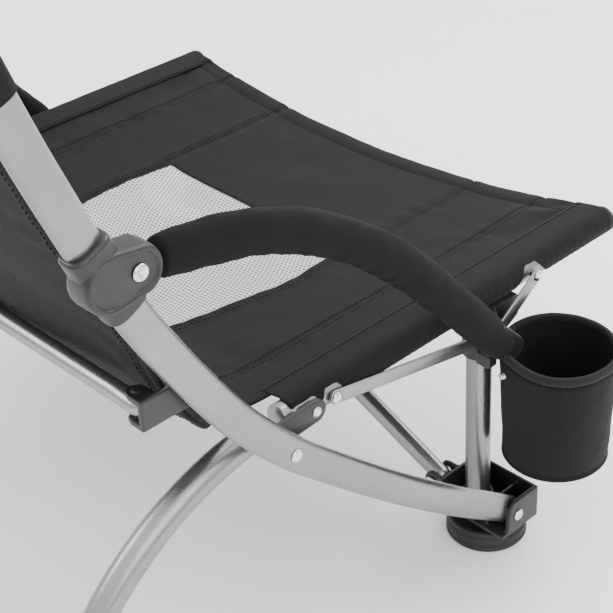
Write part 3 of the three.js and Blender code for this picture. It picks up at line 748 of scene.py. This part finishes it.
def build_arm(side, label):
    body = f"{label}_side"
    rows = [joint_ring(side, inward, inset) for inward, inset in JOINT_STATIONS]
    ring_piece(f"{label}_arm_joint_fine", rows, JOINT_PLASTIC,
               [f"{label}_arm_joint"], body)
    rivet(f"{label}_arm_rivet_fine", side, ARM_PIVOT, -46.2, -31, 6.2, body, [f"{label}_arm_rivet"], True)

    # Saddle that the joint grips the back tube with.
    back = side_path(side, BACK_TUBE_IN, BACK_ROUTE, 400)
    near = [p for p in back if 436 * MM < p.z < 492 * MM]
    tube(f"{label}_arm_saddle", near, 12.2, 16.4, body, (), power=3.0, sides=48, material=JOINT_PLASTIC,
         edge=3.0)

    # Padded sleeve: soft swellings, gathers on the inside of the bend, pressed ends.
    path = spline([place(side, ARM_IN, *point) for point in [*ARM_ROUTE, (-22, 236), (-9, 222)]], 150)

    def section(at, total):
        share = at / total
        half_a = 13.6 - 3.2 * step01(share, 0.84, 1.0) - 1.6 * bell(at - 6, 16)
        half_b = 15.4 + 1.0 * math.sin(math.pi * share) - 1.4 * step01(share, 0.9, 1.0) - 1.8 * bell(at, 14)
        for away in (at, total - at):
            if away < 5:
                half_a *= math.sqrt(max(1 - (1 - away / 5) ** 2, 0.03)) * 0.35 + 0.65
                half_b *= math.sqrt(max(1 - (1 - away / 5) ** 2, 0.03)) * 0.35 + 0.65
        ring = []
        for k, (a, b) in enumerate(oval(half_a, half_b, 44, 2.2)):
            angle = 2 * math.pi * k / 44
            gather = max(0.0, math.sin(angle) * side) ** 2 * bell(share - 0.45, 0.4)
            ripple = 0.5 * gather * math.sin(at / 3.4 + 2 * noise.noise(Vector((at / 30, side, 0))))
            soft = 0.9 * noise.noise(Vector((at / 24, math.cos(angle) * 1.4, math.sin(angle) * 1.4 + side)))
            seam = -0.9 * bell(math.remainder(angle - (math.pi * (0.5 + 0.5 * side)), 2 * math.pi), 0.09)
            grow = 1 + (ripple + soft + seam) / 15
            ring.append((a * grow, b * grow))
        return ring

    start = next(i for i, p in enumerate(path) if (p - place(side, ARM_IN, *ARM_PIVOT)).length > 17.6 * MM)
    sleeve = ring_piece(f"{label}_arm_cover", swept_rows(path[start:], X_AXIS, section), KNIT,
                        [f"{label}_arm_sleeve"], body)


# Sewn panels. "a" runs across the chair from its middle, in mm, and is negative on the right.
SEAT_SAG = 28
SAG_REAR_SHARE = 0.25
INNER_SEAM = 130
OUTER_SEAM = 216
MESH_FRONT = -3
TOP_HEM_SHARE = 0.945


def mesh_half(fwd):
    return 122 + 6 * bell(fwd + 70, 50) - 24 * step01(-fwd, 90, 235)


def seat_relief(a, f):
    side = abs(a) / SEAT_HALF
    edge = 1 - side ** 10
    lift = -SEAT_SAG * (1 - side ** 2) * (SAG_REAR_SHARE + (1 - SAG_REAR_SHARE) * step01(f, -262, -190))
    ripple_seed = noise.noise(Vector((a / 50, f / 60, 3)))
    inner = INNER_SEAM if f > MESH_FRONT else mesh_half(f) + 3
    for seam in (inner, OUTER_SEAM):
        away = abs(a) - seam
        lift -= 0.8 * bell(away, 2.2)
        lift += 0.35 * bell(abs(away) - 8, 4.5)
        lift += 0.4 * bell(away, 15) * math.sin(f / 4.6 + 5 * ripple_seed) * edge
    lift -= 1.1 * bell(f - 150, 2.4)
    lift += 0.8 * step01(f, 151, 158) * (1 - step01(f, 163, 168))
    for corner in (-1, 1):
        da, df = (a - corner * SEAT_HALF) / 62, (f - 168) / 105
        near = bell(math.hypot(da, df), 0.95)
        fan = math.atan2(df, -corner * da)
        lift += 3.4 * near * edge * math.sin(7.5 * fan + 2.2 * ripple_seed)
        rear = bell(math.hypot((a - corner * SEAT_HALF) / 80, (f + 210) / 80), 1.0)
        lift += 1.6 * rear * edge * math.sin((a * 0.35 + f * corner * 0.5) / 9 + 3 * ripple_seed)
    lift += edge * (1.3 * noise.noise(Vector((a / 62, f / 48, 0)))
                    + 0.4 * noise.noise(Vector((a / 19, f / 21, 5))))
    pull = math.sin((f + a * 0.22 * (1 if a > 0 else -1)) / 13 + 4 * ripple_seed)
    lift += 0.5 * edge * step01(abs(a), 150, 245) * pull
    return lift


def back_relief(a, share):
    side = min(abs(a) / BACK_HALF, 1.0)
    edge = 1 - side ** 10
    lift = -15 * (1 - side ** 2) * math.sin(math.pi * min(1, 0.12 + share * 0.88)) ** 0.8
    ripple_seed = noise.noise(Vector((a / 50, share * 9, 13)))
    lift -= 1.4 * bell(abs(a) - (100 + 24 * step01(share, 0.5, 0.75)), 2.4)
    lift -= 1.2 * bell(abs(a) - 285, 2.2)
    lift -= 1.2 * bell((share - TOP_HEM_SHARE) * 570, 2.4)
    lift += edge * (1.6 * noise.noise(Vector((a / 70, share * 9, 7)))
                    + 0.4 * noise.noise(Vector((a / 20, share * 28, 9))))
    lift += 0.7 * bell(abs(a) - 272, 18) * math.sin(share * 120 + 4 * ripple_seed)
    return lift


class Panel:
    """A sling surface: a profile in the side plane, a half width along it, and a relief."""

    def __init__(self, profile, half_at, relief):
        points = [Vector((fwd, z, 0)) for fwd, z in profile]
        self.line = spline(points, 400)
        self.length = spans(self.line, False)[-1]
        self.half_at = half_at
        self.relief = relief

    def frame_at(self, share):
        where = min(max(share, 0.0), 1.0) * (len(self.line) - 1)
        i = min(int(where), len(self.line) - 2)
        point = self.line[i].lerp(self.line[i + 1], where - i)
        low, high = max(i - 3, 0), min(i + 4, len(self.line) - 1)
        ahead = (self.line[high] - self.line[low]).normalized()
        return point, Vector((ahead.y, -ahead.x, 0))

    def point(self, a, share, offset=0.0):
        at, normal = self.frame_at(share)
        lift = self.relief(a, at.x, share) + offset
        f, z = at.x + normal.x * lift, at.y + normal.y * lift
        return Vector((a + CENTRE_X, CENTRE_Y - f, z)) * MM


seat = Panel(SEAT_PROFILE, lambda share: SEAT_HALF, lambda a, f, share: seat_relief(a, f))
back = Panel(BACK_PROFILE, lambda share: SEAT_HALF + (BACK_HALF - SEAT_HALF) * step01(share, 0, 0.13),
             lambda a, f, share: back_relief(a, share))


def seat_share(f):
    return min(range(len(seat.line)), key=lambda i: abs(seat.line[i].x - f)) / (len(seat.line) - 1)


def panel_rows(panel, low, high, count, columns, half=None, offset=0.0):
    rows = []
    for j in range(count):
        share = low + (high - low) * j / (count - 1)
        wide = half(share) if half else panel.half_at(share)
        rows.append([panel.point(-wide + 2 * wide * i / (columns - 1), share, offset)
                     for i in range(columns)])
    return rows


def fold_with(piece):
    """The piece rides with the right side frame, on a mesh of its own."""
    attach(piece, "right_side")
    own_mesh(piece)


STITCH_PITCH = 4.6
STITCH_RADIUS = 0.42


def stitches(name, lines, normal_hint, material=THREAD):
    """Short raised threads along lines of points."""
    verts, faces = [], []
    for line in lines:
        total = spans(line, False)[-1]
        count = max(2, int(total / (STITCH_PITCH * MM)))
        fine = resample(line, count * 3 + 1)
        for k in range(count):
            a, b = fine[3 * k], fine[3 * k + 2]
            ahead = (b - a).normalized()
            side = ahead.cross(normal_hint).normalized()
            up = side.cross(ahead)
            start = len(verts)
            for at, size in ((0.0, 0.3), (0.2, 1.0), (0.8, 1.0), (1.0, 0.3)):
                centre = a.lerp(b, at)
                for c, s in ((1, 0), (0.5, 0.87), (-0.5, 0.87), (-1, 0), (-0.5, -0.87), (0.5, -0.87)):
                    verts.append(centre + (side * c + up * s) * STITCH_RADIUS * size * MM)
            for ring in range(3):
                for i in range(6):
                    j = (i + 1) % 6
                    faces.append((start + ring * 6 + i, start + ring * 6 + j,
                                  start + ring * 6 + 6 + j, start + ring * 6 + 6 + i))
            faces.append(tuple(start + i for i in range(5, -1, -1)))
            faces.append(tuple(start + 18 + i for i in range(6)))
    uvs = [(0.001 * (i % 4), 0.0003 * (i % 7)) for i in range(sum(len(f) for f in faces))]
    return make_piece(name, verts, faces, uvs, material)


def line_on(panel, a_at, low, high, offset, count=120):
    return [panel.point(a_at(low + (high - low) * i / (count - 1)), low + (high - low) * i / (count - 1),
                        offset) for i in range(count)]


def across_on(panel, share, half, offset, count=120):
    return [panel.point(-half + 2 * half * i / (count - 1), share, offset) for i in range(count)]


SHEET_THICK = 2.0
MESH_THICK = 3.2
STITCH_OFFSET = 1.15
HEM_INSET = 14

for side_sign, side_label in SIDES:
    build_frame(side_sign, side_label)

seat_cloth = cloth_solid("seat_fabric", panel_rows(seat, 0, 1, 150, 190), SHEET_THICK, SLING,
                         ["seat_panel"])
mesh_start = seat_share(MESH_FRONT)
seat_net = cloth_solid("seat_mesh", panel_rows(seat, mesh_start, 1, 84, 84,
                                               lambda s: mesh_half(seat.frame_at(s)[0].x), 0.0),
                       MESH_THICK, MESH)
back_cloth = cloth_solid("back_fabric", panel_rows(back, 0, 1, 150, 190), SHEET_THICK, SLING,
                         ["back_panel"])


def back_mesh_half(share):
    return max(100 * math.sqrt(max(0.0, 1 - (max(0.0, share - 0.5) / 0.22) ** 2)), 3)


back_net = cloth_solid("back_mesh", panel_rows(back, 0, 0.71, 110, 70, back_mesh_half), MESH_THICK,
                       MESH)

seat_lines = []
for sign in (-1, 1):
    for seam_at in (OUTER_SEAM - 4, OUTER_SEAM + 4):
        seat_lines.append(line_on(seat, lambda s, x=seam_at * sign: x, 0.0, 1.0, STITCH_OFFSET))
    for beside in (4.2, 8.4):
        seat_lines.append(line_on(
            seat, lambda s, d=beside, k=sign: k * ((INNER_SEAM if seat.frame_at(s)[0].x > MESH_FRONT
                                                   else mesh_half(seat.frame_at(s)[0].x) + 3) + d - 1),
            0.0, 1.0, STITCH_OFFSET))
for fwd, reach in ((151, SEAT_HALF - 4), (147, SEAT_HALF - 4), (MESH_FRONT + 4, 122)):
    seat_lines.append(across_on(seat, seat_share(fwd), reach, STITCH_OFFSET))
seat_thread = stitches("seat_stitching", seat_lines, Z_AXIS)

back_lines = []
for sign in (-1, 1):
    for face in (STITCH_OFFSET, -STITCH_OFFSET):
        back_lines.append(line_on(back, lambda s, k=sign: k * (back.half_at(s) - HEM_INSET), 0.02, 1.0,
                                  face))
    back_lines.append(line_on(back, lambda s, k=sign: k * (back_mesh_half(s) + 4), 0.0, 0.7, STITCH_OFFSET))
for face in (-STITCH_OFFSET, STITCH_OFFSET):
    back_lines.append(across_on(back, TOP_HEM_SHARE, BACK_HALF - 3, face))
back_thread = stitches("back_stitching", back_lines, Vector((0, -0.94, 0.34)))

# Bound edges of the back.
def bound_edge(sign):
    rows = []
    for j in range(140):
        share = j / 139
        wide = back.half_at(share)
        ring = []
        for inset, offset in ((8.5, 1.2), (4, 1.9), (1.2, 2.0), (-0.9, 1.2), (-1.5, 0), (-0.9, -1.2),
                              (1.2, -2.0), (4, -1.9), (8.5, -1.2)):
            wave = 0.35 * noise.noise(Vector((share * 50, sign, inset)))
            ring.append(back.point(sign * (wide - inset), share, offset + wave))
        rows.append(ring)
    return rows


edges = [ring_piece(f"back_binding_{label}", bound_edge(sign), BACK_FACE)
         for sign, label in SIDES]

for cloth in (seat_cloth, seat_net, seat_thread):
    fold_with(cloth)
for cloth in (back_cloth, back_net, back_thread, *edges):
    fold_with(cloth)


# Side sleeves: the sewn channels over the seat tubes, cut away around the rivets.
def sleeve_rows(side):
    rows = []
    count, columns = 180, 34
    for j in range(count):
        fwd = SEAT_FRONT - 5 - (SEAT_FRONT - SEAT_TUBE_END - 13) * j / (count - 1)
        open_here = max(bell(abs(fwd - FRONT_RIVET[0]), 15), bell(abs(fwd - REAR_RIVET[0]), 14),
                        bell(abs(fwd - PLATE_RIVET[0]), 12), step01(-fwd, 200, 214))
        last = 232 - 98 * min(1.0, open_here * 1.25) + 3 * noise.noise(Vector((fwd / 9, side, 1)))
        row = []
        for i in range(columns):
            share = i / (columns - 1)
            if share < 0.2:
                t = share / 0.2
                inward = 27 - (27 - 3.0) * t
                z = 262.6 + 4.0 * t
                z += 0.35 * noise.noise(Vector((fwd / 14, t * 2, side)))
            else:
                angle = math.radians(76 + (last - 76) * (share - 0.2) / 0.8)
                loose = 1 - step01(math.degrees(angle), 120, 150)
                radius = TUBE_RADIUS + 0.45 + 0.9 * loose
                radius += 0.35 * loose * noise.noise(Vector((fwd / 12, share * 4, side)))
                radius += 0.16 * (1 - loose) * math.sin(fwd * 2.1)
                inward, z = radius * math.cos(angle), SEAT_HEIGHT + radius * math.sin(angle)
            row.append(place(side, inward, fwd, z))
        rows.append(row)
    return rows


for side_sign, side_label in SIDES:
    channel_rows = sleeve_rows(side_sign)
    channel = cloth_solid(f"{side_label}_sleeve_fabric", channel_rows, 0.7, SLING,
                          [f"{side_label}_side_sleeve"], f"{side_label}_side")
    seam_line = [row[1] + Z_AXIS * 0.7 * MM for row in channel_rows]
    channel_thread = stitches(f"{side_label}_sleeve_stitching", [seam_line], Z_AXIS)
    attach(channel_thread, f"{side_label}_side")

# Top pockets and one loop on each side hold the back on its tubes.
for side_sign, side_label in SIDES:
    tube_line = side_path(side_sign, BACK_TUBE_IN, BACK_ROUTE, 500)
    for piece, low, high in (("back_pocket", 700, 783), ("back_loop", 596, 624)):
        near = [p for p in tube_line if low * MM < p.z < high * MM]
        made = tube(f"{side_label}_{piece}", near, BACK_HALF_THICK + 1.6, BACK_HALF_WIDE + 1.6,
                    f"{side_label}_side", (), power=2.5, sides=48, material=BACK_FACE,
                    edge=1.5)
        flap = [[p + X_AXIS * (-side_sign) * x * MM for x in (6, 9, 12, 15, 18, 22)] for p in near]
        tab = cloth_solid(f"{side_label}_{piece}_tab", flap, 1.6, BACK_FACE, (),
                          f"{side_label}_side")


# Cup holder: a sewn bucket with a bound rim, drawn out to the arm's end.
CUP_CENTRE = place(-1, CUP_IN, CUP_FWD, 0)
CUP_DRAW = math.atan2(56, 23)
CUP_SIDES = 96
CUP_WALL_SHARES = [0.07 + 0.93 * i / 40 for i in range(1, 41)]


def cup_point(angle, radius, z, height):
    away = math.remainder(angle - CUP_DRAW, 2 * math.pi)
    corner = bell(away, 0.42) * step01(height, 0.2, 1.0)
    flat = bell(away, 1.1) * step01(height, 0.1, 0.9)
    soft = noise.noise(Vector((math.cos(angle) * 1.3, math.sin(angle) * 1.3, z / 45)))
    fine = noise.noise(Vector((math.cos(angle) * 4, math.sin(angle) * 4, z / 12)))
    size = radius + 5.0 * corner - 3.0 * flat + (1.3 * soft + 0.35 * fine) * step01(height, 0.0, 0.3)
    size = min(size, CUP_RIM_RADIUS + 4)
    rise = 9 * corner * step01(height, 0.75, 1.0)
    return CUP_CENTRE + Vector((size * math.cos(angle), size * math.sin(angle), z + rise)) * MM


def cup_rows():
    stations = [(0.5, CUP_BASE, 0)]
    for radius in (12, 24, 34, 40):
        stations.append((radius, CUP_BASE + 0.2, 0))
    stations += [(CUP_BASE_RADIUS - 2.6, CUP_BASE + 0.6, 0), (CUP_BASE_RADIUS - 0.4, CUP_BASE + 1.8, 0),
                 (CUP_BASE_RADIUS + 0.9, CUP_BASE + 3.6, 0), (CUP_BASE_RADIUS + 0.3, CUP_BASE + 5.4, 0),
                 (CUP_BASE_RADIUS - 0.5, CUP_BASE + 6.8, 0.02)]
    height = CUP_RIM - CUP_BASE
    for share in CUP_WALL_SHARES:
        radius = CUP_BASE_RADIUS + (CUP_RIM_RADIUS - CUP_BASE_RADIUS) * share
        radius -= 0.7 * bell(share - 0.925, 0.012)
        stations.append((radius, CUP_BASE + height * share, share))
    stations += [(CUP_RIM_RADIUS - 0.4, CUP_RIM + 0.8, 1),
                 (CUP_RIM_RADIUS - CUP_WALL + 0.4, CUP_RIM + 0.8, 1)]
    for share in reversed(CUP_WALL_SHARES):
        radius = CUP_BASE_RADIUS + (CUP_RIM_RADIUS - CUP_BASE_RADIUS) * share - CUP_WALL
        stations.append((radius, CUP_BASE + height * share, share))
    stations += [(CUP_BASE_RADIUS - 6, CUP_BASE + 3.4, 0), (30, CUP_BASE + 2.6, 0), (0.5, CUP_BASE + 2.4, 0)]
    return [[cup_point(2 * math.pi * k / CUP_SIDES, radius, z, share) for k in range(CUP_SIDES)]
            for radius, z, share in stations]


cup = ring_piece("cup_bucket", cup_rows(), CUP, ["cup_holder"], "right_side")
rim_rows = []
for a_off, z_off in ((1.0, -5.2), (1.5, -3), (1.4, 0.4), (0.4, 1.6), (-1.2, 2.0), (-2.8, 1.6), (-3.6, 0.2),
                     (-3.5, -3), (-3.1, -5.2)):
    rim_rows.append([cup_point(2 * math.pi * k / CUP_SIDES, CUP_RIM_RADIUS + a_off, CUP_RIM + z_off, 1)
                     for k in range(CUP_SIDES)])
rim = ring_piece("cup_rim_binding", [[row[k] for row in rim_rows] for k in range(CUP_SIDES)]
                 + [[row[0] for row in rim_rows]], BINDING, (), "right_side")
cup_stitch_line = [cup_point(2 * math.pi * k / 120, CUP_RIM_RADIUS + 0.3, CUP_RIM - 8, 0.94)
                   for k in range(121)]
cup_thread = stitches("cup_stitching", [cup_stitch_line], Z_AXIS, THREAD)
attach(cup_thread, "right_side")
grommet_at = cup_point(CUP_DRAW, CUP_RIM_RADIUS - CUP_WALL - 1.2, CUP_RIM - 16, 0.85)
inside = Vector((-math.cos(CUP_DRAW), -math.sin(CUP_DRAW), 0))
lathe("cup_grommet", [(0.2, -6), (3, -6), (3, 0), (6.2, 0.1), (6.4, 0.6), (5.4, 1.6), (3.8, 1.9), (2.8, 1.2),
                      (0.2, 1.0)], grommet_at, inside, STEEL, (), "right_side", 32)
